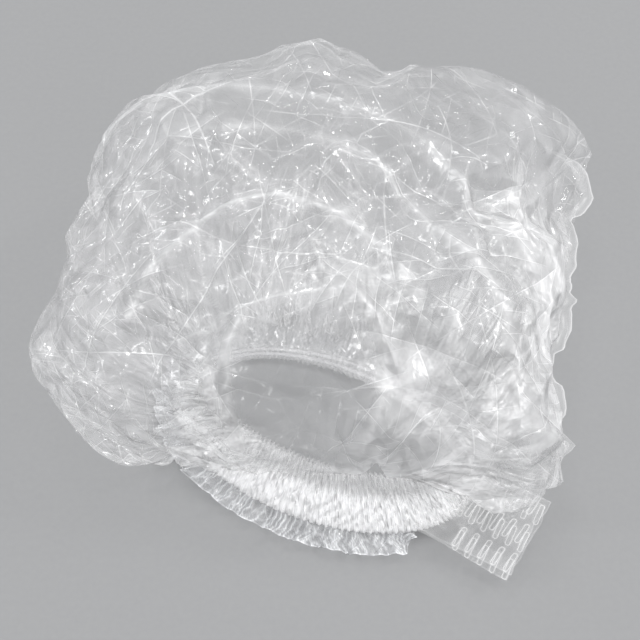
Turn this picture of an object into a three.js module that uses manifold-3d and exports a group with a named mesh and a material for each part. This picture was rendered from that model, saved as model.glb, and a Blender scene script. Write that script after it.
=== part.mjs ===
// Disposable clear film cap for hair work, lying mouth down on a table, relaxed and puffed up.
// The film is one welded sheet. It is modelled as the regions that its welds and gathers divide it into:
// the crown, the two plies of the hem, the frill past the last weld row, the two plies of the seal tab
// and the side seam. Two elastic strands run round the mouth between the plies of the hem.
// Millimetres, +Z up, +Y from the mouth's front to the back of the crown.
import * as THREE from "three";
import { mergeVertices } from "three/addons/utils/BufferGeometryUtils.js";
import Module from "manifold-3d";

const wasm = await Module();
wasm.setup();

const degrees = THREE.MathUtils.degToRad;

// ---- driving dimensions ----

const gap = 0.3; // between neighbouring solids
const filmWall = 0.6; // stands for film of 0.02 mm in the hem, frill, tab and seam
const crownWall = 1.0; // stands for the same film in the crown

const mouth = {
  halfLength: 60, // of the ellipse that the middle of the gathered band follows
  halfWidth: 32,
  turn: degrees(-22.8), // of the long axis from +X
};

const weld = {
  length: 9.6, // across the hem
  width: 2.5,
  pitch: 5.5, // along the hem where it isn't gathered
  height: 0.35, // that an embossed rim stands out of the film
  rim: 0.6,
};

const elastic = { width: 3, thick: 0.8, clearance: 0.35 };

// The hem in section, from the crown down: weld row, channel, weld row, channel, weld row (the frill).
const slope = { upper: degrees(60), band: degrees(50), frill: degrees(17) };
const channel = elastic.width + 2 * elastic.clearance;

const ruffle = { count: 36, height: 1.6, stepsPerWave: 4 };

const crown = {
  centre: [0, 58], // in plan, from the middle of the mouth
  radius: 108, // of the girth, before its lobes
  apex: [-4, 66, 104],
  girthHeight: 35,
  landing: 20, // how far past the frill the underside comes down to the table
  clearance: 2, // of the underside over the hem and the frill
};

// What the trapped air and the folds add to the girth's radius: direction, amount, spread.
const lobes = [
  { at: 38, out: 25, spread: 19 }, // corner at the top of the side seam
  { at: 84, out: 5, spread: 16 },
  { at: 128, out: 6, spread: 15 },
  { at: 192, out: 6, spread: 26 },
  { at: 264, out: -21, spread: 42 }, // drawn in over the front of the mouth
  { at: 318, out: 24, spread: 17 }, // corner above the seal tab
  { at: 356, out: -12, spread: 22 }, // along the side seam
];

// Soft hollows and swellings of the top, in degrees round the crown: direction, height, spread.
const puffs = [
  { at: 60, out: 5, spread: 24 },
  { at: 100, out: -4, spread: 18 },
  { at: 150, out: 5, spread: 25 },
  { at: 205, out: -3, spread: 20 },
  { at: 245, out: 4, spread: 22 },
  { at: 300, out: -5, spread: 24 },
];

const tab = {
  length: 30, // past the hem
  turn: degrees(-30.5), // of the way it points
  height: 7.6, // of its underside above the table
  rows: 3,
};

const seam = {
  width: 6, // that the welded edge stands out of the crown
  from: 317, // degrees round the girth, at the seal tab
  to: 396,
  chord: 0.25, // that the crown's straight facets may stand out of the seam's curve
};

const roundSteps = 60;

// ---- values that follow ----

const hemWidth = 3 * weld.length + 2 * channel;
const halfBand = weld.length / 2 + channel;

// The hem's middle surface as distance across it, offset from the mouth's ellipse, and height.
const frillEdgeHeight = ruffle.height + filmWall / 2;
const frillRootHeight = frillEdgeHeight + weld.length * Math.sin(slope.frill);
const hemLine = [
  { across: 0, offset: -halfBand * Math.cos(slope.band) - weld.length * Math.cos(slope.upper) },
  { across: weld.length, offset: -halfBand * Math.cos(slope.band) },
  { across: hemWidth - weld.length, offset: halfBand * Math.cos(slope.band) },
  {
    across: hemWidth,
    offset: halfBand * Math.cos(slope.band) + weld.length * Math.cos(slope.frill),
  },
];
hemLine[3].height = frillEdgeHeight;
hemLine[2].height = frillRootHeight;
hemLine[1].height = frillRootHeight + 2 * halfBand * Math.sin(slope.band);
hemLine[0].height = hemLine[1].height + weld.length * Math.sin(slope.upper);

// Where a place across the hem is, and which way the outer ply faces there.
function hemPlace(across) {
  const last = hemLine.length - 2;
  const i = Math.min(last, Math.max(0, hemLine.findIndex((p, k) => k > last || across <= hemLine[k + 1].across)));
  const [a, b] = [hemLine[i], hemLine[i + 1]];
  const share = (across - a.across) / (b.across - a.across);
  const run = Math.hypot(b.offset - a.offset, b.height - a.height);
  return {
    offset: THREE.MathUtils.lerp(a.offset, b.offset, share),
    height: THREE.MathUtils.lerp(a.height, b.height, share),
    out: [(a.height - b.height) / run, (b.offset - a.offset) / run],
  };
}

// How far a point lies outside the mouth's ellipse, by halving the range that holds it.
function offsetOf(point) {
  const p = point.clone().applyAxisAngle(new THREE.Vector3(0, 0, 1), -mouth.turn);
  let [low, high] = [-mouth.halfWidth, Math.hypot(p.x, p.y)];
  for (let i = 0; i < 30; i++) {
    const s = (low + high) / 2;
    const outside = (p.x / (mouth.halfLength + s)) ** 2 + (p.y / (mouth.halfWidth + s)) ** 2 > 1;
    [low, high] = outside ? [s, high] : [low, s];
  }
  return low;
}

// The height of the hem's middle surface at an offset from the mouth's ellipse, 0 past the frill.
function hemHeight(offset) {
  const i = hemLine.findIndex((p, k) => k + 1 < hemLine.length && offset <= hemLine[k + 1].offset);
  if (i < 0) return offset < hemLine.at(-1).offset + crown.clearance ? hemLine.at(-1).height : -Infinity;
  const [a, b] = [hemLine[i], hemLine[i + 1]];
  return a.height + (Math.max(0, offset - a.offset) * (b.height - a.height)) / (b.offset - a.offset);
}

// A point at an angle round the mouth, offset out of its ellipse, at a height.
function mouthPoint(angle, offset, height) {
  const x = (mouth.halfLength + offset) * Math.cos(angle);
  const y = (mouth.halfWidth + offset) * Math.sin(angle);
  return new THREE.Vector3(x, y, height).applyAxisAngle(new THREE.Vector3(0, 0, 1), mouth.turn);
}

function degreesApart(a, b) {
  return ((((a - b) % 360) + 540) % 360) - 180;
}

function sumOfBumps(bumps, at) {
  return bumps.reduce((sum, b) => sum + b.out * Math.exp(-((degreesApart(at, b.at) / b.spread) ** 2)), 0);
}

// ---- closed surfaces from grids of points ----

// A geometry from points and the triangles between them.
function geometryOf(points, triangles) {
  const g = new THREE.BufferGeometry();
  g.setAttribute("position", new THREE.Float32BufferAttribute(points.flatMap((p) => [p.x, p.y, p.z]), 3));
  g.setIndex(triangles);
  g.computeVertexNormals();
  return g;
}

// Sections swept round a path. Each section is a closed ring of points; the path closes or gets end caps.
function sweep(sections, closed) {
  const n = sections[0].length;
  const rows = sections.length;
  const triangles = [];
  for (let i = 0; i < (closed ? rows : rows - 1); i++)
    for (let j = 0; j < n; j++) {
      const [a, b] = [i * n + j, i * n + ((j + 1) % n)];
      const [c, d] = [((i + 1) % rows) * n + j, ((i + 1) % rows) * n + ((j + 1) % n)];
      triangles.push(a, c, b, b, c, d);
    }
  if (!closed)
    for (let j = 1; j < n / 2; j++) {
      // a section is a strip: j and n - j are the two sides of it
      const quad = [j - 1, j, n - 1 - j, n - j].map((k) => k % n);
      const end = quad.map((k) => (rows - 1) * n + k);
      triangles.push(quad[0], quad[1], quad[3], quad[1], quad[2], quad[3]);
      triangles.push(end[1], end[0], end[3], end[2], end[1], end[3]);
    }
  return outwards(geometryOf(sections.flat(), triangles));
}

// Turns a closed geometry's faces outwards.
function outwards(geometry) {
  const p = geometry.getAttribute("position");
  const t = geometry.index.array;
  const [a, b, c] = [0, 1, 2].map(() => new THREE.Vector3());
  let volume = 0;
  for (let i = 0; i < t.length; i += 3) {
    [a, b, c].forEach((v, k) => v.fromBufferAttribute(p, t[i + k]));
    volume += a.dot(b.cross(c));
  }
  if (volume < 0)
    for (let i = 0; i < t.length; i += 3) [t[i + 1], t[i + 2]] = [t[i + 2], t[i + 1]];
  geometry.computeVertexNormals();
  return geometry;
}

// A strip of film as the ring of points round its section: the inner face's places and the thickness
// added along each place's outward direction, both as {offset, height} from the mouth's ellipse.
function stripSection(places, thickness) {
  const face = places.map((p) => [p.offset, p.height]);
  const back = places.map((p) => [p.offset + p.out[0] * thickness, p.height + p.out[1] * thickness]);
  return [...face, ...back.reverse()];
}

function ringOf(section, closed = true, from = 0, to = 360, steps = roundSteps) {
  const angles = Array.from({ length: closed ? steps : steps + 1 }, (_, i) =>
    degrees(from + ((to - from) * i) / steps),
  );
  return sweep(
    angles.map((angle) => section.map(([offset, height]) => mouthPoint(angle, offset, height))),
    closed,
  );
}

// ---- boolean work ----

function solidOf(geometry) {
  const g = geometry.clone();
  g.deleteAttribute("normal");
  g.deleteAttribute("uv");
  const merged = mergeVertices(g, 1e-4);
  return new wasm.Manifold(
    new wasm.Mesh({
      numProp: 3,
      vertProperties: merged.attributes.position.array,
      triVerts: new Uint32Array(merged.index.array),
    }),
  );
}

function geometryFrom(solid) {
  const m = solid.getMesh();
  const g = new THREE.BufferGeometry();
  g.setAttribute("position", new THREE.BufferAttribute(new Float32Array(m.vertProperties), 3));
  g.setIndex(new THREE.BufferAttribute(new Uint32Array(m.triVerts), 1));
  g.computeVertexNormals();
  return g;
}

// ---- the pieces ----

const film = new THREE.MeshStandardMaterial({
  color: 0xe9edf0,
  roughness: 0.15,
  metalness: 0,
  transparent: true,
  opacity: 0.35,
});
const gatheredFilm = new THREE.MeshStandardMaterial({
  color: 0xeeeef3,
  roughness: 0.45,
  metalness: 0,
  transparent: true,
  opacity: 0.8,
});
const rubber = new THREE.MeshStandardMaterial({ color: 0xdedbe4, roughness: 0.7, metalness: 0 });

// How far a ply bulges at a place across the hem, so that it clears the strand in a channel.
function bulge(across) {
  const lift = elastic.thick / 2 + gap;
  const inChannel = [weld.length, hemWidth - weld.length - channel].some(
    (start) => across > start - 1e-6 && across < start + channel + 1e-6,
  );
  return inChannel ? lift : gap / 2;
}

// One ply of the hem between the crown and the frill: side is 1 for the outer ply and -1 for the inner.
function hemPly(side) {
  const edge = 0.9; // of the ramp between a weld and a channel
  const low = weld.length;
  const high = hemWidth - weld.length;
  const stops = [
    0,
    low - edge,
    low,
    low + channel,
    low + channel + edge,
    high - channel - edge,
    high - channel,
    high,
  ];
  const places = stops.map((across) => {
    const p = hemPlace(across);
    const lift = bulge(across);
    return {
      offset: p.offset + side * p.out[0] * lift,
      height: p.height + side * p.out[1] * lift,
      out: p.out.map((x) => x * side),
    };
  });
  return ringOf(stripSection(places, filmWall));
}

// A strand of elastic lying flat in one of the hem's two channels.
function strand(start) {
  const [a, b] = [start + elastic.clearance, start + channel - elastic.clearance].map(hemPlace);
  const places = [a, b].map((p) => ({
    offset: p.offset - (p.out[0] * elastic.thick) / 2,
    height: p.height - (p.out[1] * elastic.thick) / 2,
    out: p.out,
  }));
  return ringOf(stripSection(places, elastic.thick));
}

// The free edge past the last weld row, ruffled because the elastic gathers its root. It stops at the tab.
function frill() {
  const root = hemPlace(hemWidth - weld.length);
  const edge = hemPlace(hemWidth);
  const bulged = bulge(hemWidth - weld.length);
  const clear = (bulged + filmWall) * Math.sin(slope.band) + gap;
  const rise = bulged * Math.cos(slope.band);
  const from = 12;
  const to = 318;
  const waves = Math.round((ruffle.count * (to - from)) / 360);
  const steps = waves * ruffle.stepsPerWave;
  const sections = Array.from({ length: steps + 1 }, (_, i) => {
    const wave = Math.sin((2 * Math.PI * i) / ruffle.stepsPerWave);
    const angle = degrees(from + ((to - from) * i) / steps);
    const at = (share, up) =>
      mouthPoint(
        angle,
        THREE.MathUtils.lerp(root.offset + clear, edge.offset, share),
        THREE.MathUtils.lerp(root.height + rise, edge.height, share) + wave * ruffle.height * share + up,
      );
    const half = filmWall / 2;
    return [at(0, -half), at(0.5, -half), at(1, -half), at(1, half), at(0.5, half), at(0, half)];
  });
  return sweep(sections, false);
}

// The crown starts just above the outer corner of the hem's outer ply.
const neck = {
  offset: hemLine[0].offset + (gap / 2 + filmWall) * Math.sin(slope.upper) + gap,
  height: hemLine[0].height + (gap / 2 + filmWall) * Math.cos(slope.upper) + gap,
};

// The height of the underside of the crown, from the fall off the neck and the rise to the girth.
function undersideHeight(fromNeck, toGirth, neckHeight, girthHeight, floor) {
  const drop = Math.min(1, fromNeck / (hemLine.at(-1).offset - neck.offset + crown.landing));
  const fall = floor + (neckHeight - floor) * 0.5 * (1 + Math.cos(Math.PI * drop));
  const bend = Math.max(0, 1 - toGirth / (girthHeight - floor));
  const rise = floor + (girthHeight - floor) * (1 - Math.sqrt(1 - Math.min(1, bend) ** 2));
  return Math.max(fall, rise);
}

// The girth's point in a direction round the crown. It runs high over the front of the mouth.
function girthPoint(at) {
  const radius = crown.radius + sumOfBumps(lobes, at);
  const high = sumOfBumps([{ at: 266, out: 17, spread: 42 }, { at: 322, out: -7, spread: 20 }], at);
  return new THREE.Vector3(
    crown.centre[0] + radius * Math.cos(degrees(at)),
    crown.centre[1] + radius * Math.sin(degrees(at)),
    crown.girthHeight + high,
  );
}

// One line of the crown's outer surface, from the neck out along the underside, round the girth and over
// the top to the apex. The apex itself is left to the caller.
function crownLine(at, underRows, topRows) {
  const start = mouthPoint(degrees(at) - mouth.turn, neck.offset, neck.height);
  const girth = girthPoint(at);
  const apex = new THREE.Vector3(...crown.apex);
  const reach = Math.hypot(girth.x - start.x, girth.y - start.y);
  const tabTop = tab.height + 2 * filmWall + gap + weld.height;
  const floor = sumOfBumps([{ at: 322, out: tabTop + 6.5, spread: 30 }], at);
  const line = [];
  for (let i = 0; i < underRows; i++) {
    const share = Math.sin(((i / underRows) * Math.PI) / 2);
    const p = start.clone().lerp(girth, share);
    p.z = undersideHeight(reach * share, reach * (1 - share), neck.height, girth.z, floor);
    const hemTop = hemHeight(offsetOf(p)) + filmWall + elastic.thick + ruffle.height + crown.clearance;
    if (i > 0) p.z = Math.max(p.z, hemTop);
    line.push(p);
  }
  for (let i = 0; i < topRows; i++) {
    const turn = ((i / topRows) * Math.PI) / 2;
    const p = apex.clone().lerp(girth, Math.cos(turn) ** 0.85);
    const swell = sumOfBumps(puffs, at) * Math.sin(2 * turn) ** 2;
    p.z = girth.z + (apex.z - girth.z) * Math.sin(turn) ** 0.9 + swell;
    line.push(p);
  }
  return line;
}

// The crown: a shell open at the neck, closed at the apex.
function crownShell() {
  const [underRows, topRows] = [9, 10];
  const rows = underRows + topRows;
  const n = 60;
  const outer = Array.from({ length: n }, (_, i) => crownLine((360 * i) / n, underRows, topRows)).flat();
  const apex = new THREE.Vector3(...crown.apex);
  const at = (i, k) => outer[((i + n) % n) * rows + k];
  const inner = outer.map((p, index) => {
    const [i, k] = [Math.floor(index / rows), index % rows];
    const along = (k + 1 < rows ? at(i, k + 1) : apex).clone().sub(at(i, Math.max(0, k - 1)));
    const round = at(i + 1, k).clone().sub(at(i - 1, k));
    return p.clone().addScaledVector(round.cross(along).normalize(), -crownWall);
  });
  const points = [...outer, ...inner, apex, apex.clone().setZ(apex.z - crownWall)];
  const triangles = [];
  for (let i = 0; i < n; i++) {
    const j = (i + 1) % n;
    for (let k = 0; k + 1 < rows; k++) {
      const [a, b, c, d] = [i * rows + k, j * rows + k, i * rows + k + 1, j * rows + k + 1];
      triangles.push(a, b, c, b, d, c);
      const s = n * rows;
      triangles.push(a + s, c + s, b + s, b + s, c + s, d + s);
    }
    const [top, under] = [2 * n * rows, 2 * n * rows + 1];
    triangles.push(i * rows + rows - 1, j * rows + rows - 1, top);
    triangles.push(n * rows + j * rows + rows - 1, n * rows + i * rows + rows - 1, under);
    const [a, b] = [i * rows, j * rows];
    triangles.push(a, n * rows + a, b, b, n * rows + a, n * rows + b);
  }
  return outwards(geometryOf(points, triangles));
}

// Rounded oblong rims of one weld row pattern, to be raised on a ply of the tab.
function weldRims(startX, columns, bottom, top) {
  const rims = [];
  const step = (hemWidth - weld.length) / (tab.rows - 1);
  for (let row = 0; row < tab.rows; row++)
    for (let column = 0; column < columns; column++) {
      const x = startX - column * weld.pitch;
      const y = -(hemWidth - weld.length) / 2 + row * step;
      const shape = oblong(weld.width, weld.length);
      shape.holes.push(oblong(weld.width - 2 * weld.rim, weld.length - 2 * weld.rim));
      const rim = new THREE.ExtrudeGeometry(shape, { depth: top - bottom, bevelEnabled: false, curveSegments: 3 });
      rims.push(rim.translate(x, y, bottom));
    }
  return rims;
}

function oblong(width, length) {
  const r = width / 2;
  const straight = length / 2 - r;
  const shape = new THREE.Shape();
  shape.absarc(0, straight, r, 0, Math.PI);
  shape.absarc(0, -straight, r, Math.PI, 2 * Math.PI);
  shape.closePath();
  return shape;
}

// One ply of the tab in the tab's own frame: +X points away from the mouth, which is at x 0.
// Its root follows the hem's outline, so that it starts right beside the outer ply.
function tabPly(side) {
  const away = tab.turn - mouth.turn;
  const inward = (tab.height - frillRootHeight) / Math.tan(slope.band);
  const ply = (bulge(weld.length) + filmWall) / Math.sin(slope.band);
  const hemOut = hemPlace(hemWidth - weld.length).offset - inward + ply + gap;
  const [a, b] = [mouth.halfLength + hemOut, mouth.halfWidth + hemOut];
  // where the line y = const in the tab's frame leaves the ellipse with half axes a and b
  const rootAt = (y) => {
    const [c, s] = [Math.cos(away), Math.sin(away)];
    const p = (c / a) ** 2 + (s / b) ** 2;
    const q = 2 * y * c * s * (1 / b ** 2 - 1 / a ** 2);
    const r = (y * s) ** 2 / a ** 2 + (y * c) ** 2 / b ** 2 - 1;
    const root = q * q - 4 * p * r;
    return root > 0 ? (-q + Math.sqrt(root)) / (2 * p) : 0;
  };
  const tip = rootAt(0) + tab.length;
  const half = hemWidth / 2;
  const shape = new THREE.Shape();
  shape.moveTo(tip, -half);
  shape.lineTo(tip, half);
  const steps = 10;
  for (let i = 0; i <= steps; i++) {
    const y = half - (2 * half * i) / steps;
    shape.lineTo(Math.max(rootAt(y), tip - tab.length - weld.pitch), y);
  }
  shape.closePath();
  const plate = new THREE.ExtrudeGeometry(shape, { depth: filmWall, bevelEnabled: false });
  const sunk = 0.2; // of a rim into its ply
  const columns = Math.floor((tab.length - weld.width) / weld.pitch);
  const [bottom, top] = side > 0 ? [filmWall - sunk, filmWall + weld.height] : [-weld.height, sunk];
  let solid = solidOf(plate);
  for (const rim of weldRims(tip - weld.width / 2 - weld.rim, columns, bottom, top)) solid = solid.add(solidOf(rim));
  return geometryFrom(solid);
}

// The welded edge that runs up the side of the crown from above the tab.
function sideSeam() {
  const steps = 26;
  const sections = Array.from({ length: steps + 1 }, (_, i) => {
    const at = seam.from + ((seam.to - seam.from) * i) / steps;
    const ahead = girthPoint(at + 1).sub(girthPoint(at - 1));
    const out = new THREE.Vector3(ahead.y, -ahead.x, 0).normalize();
    const taper = Math.min(1, (steps - i) / 4 + 0.25, i / 4 + 0.25);
    const point = (distance, up) => girthPoint(at).addScaledVector(out, distance).setZ(girthPoint(at).z + up);
    const near = gap + seam.chord;
    const far = near + seam.width * taper;
    return [point(near, -filmWall), point(far, -filmWall), point(far, filmWall), point(near, filmWall)];
  });
  return sweep(sections, false);
}

// ---- assembly ----

const cap = new THREE.Group();

function put(name, geometry, material, parent = cap) {
  const mesh = new THREE.Mesh(geometry, material);
  mesh.name = name;
  parent.add(mesh);
  return mesh;
}

put("crown_film", crownShell(), film);
put("hem_outer_ply", hemPly(1), gatheredFilm);
put("hem_inner_ply", hemPly(-1), gatheredFilm);
put("elastic_strand_upper", strand(weld.length), rubber);
put("elastic_strand_lower", strand(hemWidth - weld.length - channel), rubber);
put("frill", frill(), film);
put("side_seam", sideSeam(), film);

const tabGroup = new THREE.Group();
tabGroup.rotation.z = tab.turn;
cap.add(tabGroup);
put("seal_tab_back_ply", tabPly(-1), film, tabGroup).position.z = tab.height + weld.height;
put("seal_tab_front_ply", tabPly(1), film, tabGroup).position.z = tab.height + weld.height + filmWall + gap;

// The origin is at the middle of the foot of the box round the whole cap.
cap.updateMatrixWorld(true);
const box = new THREE.Box3().setFromObject(cap, true);
cap.position.set(-(box.min.x + box.max.x) / 2, -(box.min.y + box.max.y) / 2, -box.min.z);

export default cap;
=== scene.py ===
import math

import bpy
import numpy as np
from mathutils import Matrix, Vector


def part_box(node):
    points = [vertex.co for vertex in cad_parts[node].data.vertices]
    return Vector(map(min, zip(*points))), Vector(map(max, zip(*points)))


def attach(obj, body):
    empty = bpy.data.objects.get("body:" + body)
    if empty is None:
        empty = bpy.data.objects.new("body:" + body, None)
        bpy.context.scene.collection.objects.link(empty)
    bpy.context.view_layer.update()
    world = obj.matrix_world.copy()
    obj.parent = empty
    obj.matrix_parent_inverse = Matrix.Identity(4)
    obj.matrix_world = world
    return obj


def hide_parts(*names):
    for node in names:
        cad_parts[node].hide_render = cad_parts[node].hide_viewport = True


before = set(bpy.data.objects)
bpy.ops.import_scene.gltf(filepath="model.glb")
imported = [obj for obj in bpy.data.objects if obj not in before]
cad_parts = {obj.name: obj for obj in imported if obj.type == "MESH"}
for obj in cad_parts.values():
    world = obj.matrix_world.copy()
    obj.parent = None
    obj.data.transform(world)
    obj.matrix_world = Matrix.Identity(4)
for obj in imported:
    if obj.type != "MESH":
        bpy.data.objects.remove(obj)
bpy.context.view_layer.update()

# Disposable clear film cap, lying mouth down. Metres, +Z up, floor at 0.
# Every film surface is a grid of two parameters: round the mouth, and across or along the film.

mouth = {
    "halfLength": 0.060,  # of the ellipse through the middle of the gathered band
    "halfWidth": 0.032,
    "turn": math.radians(-22.8),
}
weldLength = 0.0096
channelWidth = 0.0037
slopes = {"upper": math.radians(60), "band": math.radians(50), "frill": math.radians(17)}
filmPerRadian = 0.15  # metres of UV for each radian round the mouth

low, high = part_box("elastic_strand_lower")
mouthCentre = np.array([(low[0] + high[0]) / 2, (low[1] + high[1]) / 2])


# One line printed for each stage.
def finish(what):
    print("made", what, flush=True)


# Sum of a few sines round the circle with seeded phases: a smooth wander that closes on itself.
def wander(angle, seed, harmonics=(2, 3, 5, 7, 11)):
    rng = np.random.default_rng(seed)
    total = np.zeros_like(angle)
    for n in harmonics:
        total = total + np.sin(n * angle + rng.uniform(0, 2 * np.pi)) / math.sqrt(n)
    return total / 2


# Triangle wave: arcsine of a sine, so that it has straight flanks and sharp turns.
def zigzag(phase):
    return np.arcsin(np.sin(phase)) * 2 / np.pi


# Point on the mouth's ellipse grown by an offset, turned and moved to the mouth's centre.
def mouthPoint(angle, offset, height):
    x = (mouth["halfLength"] + offset) * np.cos(angle)
    y = (mouth["halfWidth"] + offset) * np.sin(angle)
    c, s = math.cos(mouth["turn"]), math.sin(mouth["turn"])
    return np.stack([x * c - y * s + mouthCentre[0], x * s + y * c + mouthCentre[1], height + 0 * x], axis=-1)


# The hem's section: corners as offset from the ellipse and height, from the crown to the frill's edge.
halfBand = weldLength / 2 + channelWidth
hemOffsets = np.array([
    -halfBand * math.cos(slopes["band"]) - weldLength * math.cos(slopes["upper"]),
    -halfBand * math.cos(slopes["band"]),
    halfBand * math.cos(slopes["band"]),
    halfBand * math.cos(slopes["band"]) + weldLength * math.cos(slopes["frill"]),
])
hemAcross = np.array([0, weldLength, 2 * weldLength + 2 * channelWidth, 3 * weldLength + 2 * channelWidth])
frillEdgeHeight = 0.0019
frillRootHeight = frillEdgeHeight + weldLength * math.sin(slopes["frill"])
bandTopHeight = frillRootHeight + 2 * halfBand * math.sin(slopes["band"])
hemHeights = np.array([
    bandTopHeight + weldLength * math.sin(slopes["upper"]),
    bandTopHeight,
    frillRootHeight,
    frillEdgeHeight,
])


# Offset and height by linear steps between the corners, and the outward normal of the step.
def hemPlace(across):
    offset = np.interp(across, hemAcross, hemOffsets)
    height = np.interp(across, hemAcross, hemHeights)
    step = 0.0015  # to either side, so that the normal turns gently at the corners
    before, after = across - step, across + step
    dOffset = np.interp(after, hemAcross, hemOffsets) - np.interp(before, hemAcross, hemOffsets)
    dHeight = np.interp(after, hemAcross, hemHeights) - np.interp(before, hemAcross, hemHeights)
    run = np.hypot(dOffset, dHeight)
    return offset, height, -dHeight / run, dOffset / run


# Grid of points with the hem's place pushed along its outward normal.
def hemPoint(angle, across, push):
    offset, height, outX, outZ = hemPlace(across)
    return mouthPoint(angle, offset + outX * push, height + outZ * push)


# Sum over many elongated pyramids: height times 1 - |distance across|/width - |distance along|/length,
# where that is above 0. Every one has four flat faces, so the sum is flat facets and straight creases.
def crumple(x, y, pyramids):
    total = np.zeros_like(x)
    for cx, cy, direction, length, width, height in pyramids:
        near = (np.abs(x - cx) < length + width) & (np.abs(y - cy) < length + width)
        if not near.any():
            continue
        dx, dy = x[near] - cx, y[near] - cy
        along = dx * math.cos(direction) + dy * math.sin(direction)
        across = dy * math.cos(direction) - dx * math.sin(direction)
        total[near] += height * np.clip(1 - np.abs(across) / width - np.abs(along) / length, 0, None)
    return total


# Seeded pyramids scattered over a rectangle, each with a random place, direction and size.
def scatter(seed, count, span, lengths, slenderness, steepness, directions=(0, math.pi)):
    rng = np.random.default_rng(seed)
    place = rng.uniform(-1, 1, (count, 2)) * np.array(span)
    direction = rng.uniform(*directions, count)
    length = np.exp(rng.uniform(math.log(lengths[0]), math.log(lengths[1]), count))
    width = length * rng.uniform(*slenderness, count)
    height = width * rng.uniform(*steepness, count) * rng.choice([-1, 1], count, p=[0.4, 0.6])
    return np.column_stack([place, direction, length, width, height])


# Sum of jagged profiles, each drawn out straight along one direction and kept in slow patches: long straight
# creases with flat facets between them.
def foldField(x, y, seed, count, step, steepness):
    knotCount = 60
    waveX, waveY, waveAcross = 31, 37, 26  # radians per metre of the slow patches
    rng = np.random.default_rng(seed)
    total = np.zeros_like(x)
    for k in range(count):
        direction = math.pi * (k + rng.uniform(0.1, 0.9)) / count
        across = x * math.cos(direction) + y * math.sin(direction)
        knots = np.cumsum(rng.uniform(0.35, 1.65, knotCount) * step) - knotCount / 2 * step
        sides = np.where(np.arange(knotCount) % 2, 1, -1)
        heights = rng.uniform(0.15, 1.0, knotCount) * sides * step * steepness / 2
        a, b, c = rng.uniform(0, 2 * np.pi, 3)
        patch = np.sin(x * waveX + a) + np.sin(y * waveY + b) + np.sin((x - y) * waveAcross + c)
        total += np.interp(across, knots, heights) * np.clip(0.45 + 0.45 * patch, 0, 1)
    return total


# Ridge along an arc in plan: one minus the distance to the arc over the width, faded towards the arc's ends.
def arcRidge(x, y, arc):
    fade = 12  # degrees at each end
    cx, cy, radius, start, stop, width = arc
    apart = np.abs(np.hypot(x - cx, y - cy) - radius)
    degrees = (np.degrees(np.arctan2(y - cy, x - cx)) - start) % 360
    ends = np.clip(np.minimum(degrees, stop - start - degrees) / fade, 0, 1)
    return np.clip(1 - apart / width, 0, 1) * ends


# Share of a mouth angle that faces the front, where the gathers are tight.
def frontShare(angle, least):
    return np.clip(0.5 - 1.3 * np.sin(angle), least, 1)


# Unit normals of a grid from the cross product of its two differences.
def gridNormals(points, closed):
    along = np.gradient(points, axis=1)
    if closed:
        across = np.roll(points, -1, axis=0) - np.roll(points, 1, axis=0)
    else:
        across = np.gradient(points, axis=0)
    normal = np.cross(across, along)
    return normal / np.maximum(np.linalg.norm(normal, axis=-1, keepdims=True), 1e-12)


# How sharply the surface turns at each point, 0 to 1, from the change of the unit normal per metre over the
# change that counts as a full crease.
def creaseMask(points, closed, full):
    normal = gridNormals(points, closed)
    bend = np.zeros(points.shape[:2])
    for axis in (0, 1):
        step = np.linalg.norm(np.roll(points, -1, axis) - points, axis=-1)
        turn = np.linalg.norm(np.roll(normal, -1, axis) - normal, axis=-1)
        bend += np.where(step > 1e-5, turn / np.maximum(step, 3e-4), 0)
    return np.clip(bend / full, 0, 1)


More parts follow.
